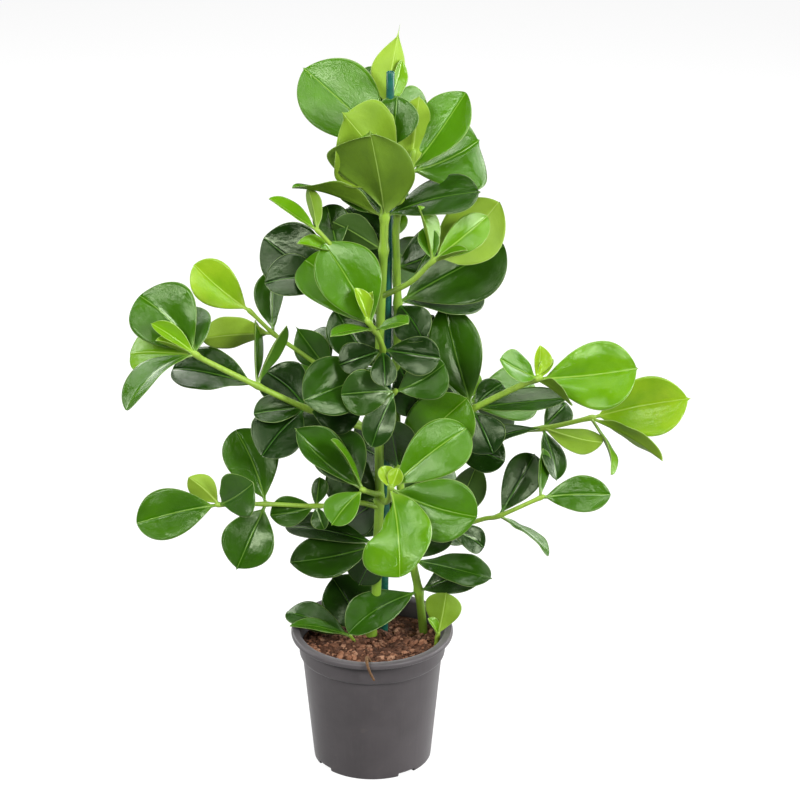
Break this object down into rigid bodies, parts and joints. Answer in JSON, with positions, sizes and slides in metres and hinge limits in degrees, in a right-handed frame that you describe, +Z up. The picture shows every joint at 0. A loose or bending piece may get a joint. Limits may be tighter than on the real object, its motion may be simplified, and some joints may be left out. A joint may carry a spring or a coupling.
{
  "type": "potted clusia plant",
  "caption": "Upright clusia with thick paddle-shaped leaves on branching green stems, beside a thin stake, in a round tapered nursery pot filled with soil.",
  "frame": {"origin": "middle of the pot's base, on the plane the foot ring stands on", "axes": "+Z up along the pot's axis, -Y towards the plant's front, +X to the plant's right as seen from the front"},
  "size_m": [0.5723, 0.3347, 0.7747],
  "materials": {
    "pot_plastic": "satin",
    "soil": "matte",
    "stake_coating": "satin",
    "dry_root": "matte",
    "stem": "satin",
    "leaf": "gloss"
  },
  "bodies": {
    "root": {"pot": "pot_plastic", "soil": "soil", "stake": "stake_coating", "dry_root": "dry_root", "branch_back_high": "stem", "branch_back_left": "stem", "branch_back_low": "stem", "branch_back_right": "stem", "branch_left": "stem", "branch_left_low": "stem", "branch_left_thin": "stem", "branch_right": "stem", "branch_right_long": "stem", "branch_right_low": "stem", "leaf_stalk_left": "stem", "shoot_centre": "stem", "shoot_crown_behind": "stem", "shoot_front": "stem", "shoot_front_left": "stem", "shoot_left_high": "stem", "shoot_mid_front": "stem", "shoot_upper_left": "stem", "shoot_upper_right": "stem", "sprout_right": "stem", "stem_back": "stem", "stem_front": "stem", "leaves_at_stem_foot": "leaf", "leaves_back_high_lower": "leaf", "leaves_back_left_inner": "leaf", "leaves_back_low_inner": "leaf", "leaves_back_right_inner": "leaf", "leaves_behind_middle": "leaf", "leaves_branch_left_inner": "leaf", "leaves_branch_left_middle": "leaf", "leaves_branch_right_inner": "leaf", "leaves_branch_right_middle": "leaf", "leaves_centre_fan": "leaf", "leaves_centre_lower": "leaf", "leaves_crown_lower": "leaf", "leaves_large_right": "leaf", "leaves_long_branch_inner": "leaf", "leaves_long_branch_middle": "leaf", "leaves_low_branch_inner": "leaf", "leaves_low_branch_middle": "leaf", "leaves_low_left": "leaf", "leaves_low_left_inner": "leaf", "leaves_low_left_middle": "leaf", "leaves_low_right": "leaf", "leaves_low_right_upper": "leaf", "leaves_mid_front": "leaf", "leaves_middle_left": "leaf", "leaves_middle_right": "leaf", "leaves_thin_branch_fork": "leaf", "leaves_thin_branch_inner": "leaf", "leaves_upper_left": "leaf", "leaves_young_upper_left": "leaf"}
  },
  "joints": []
}
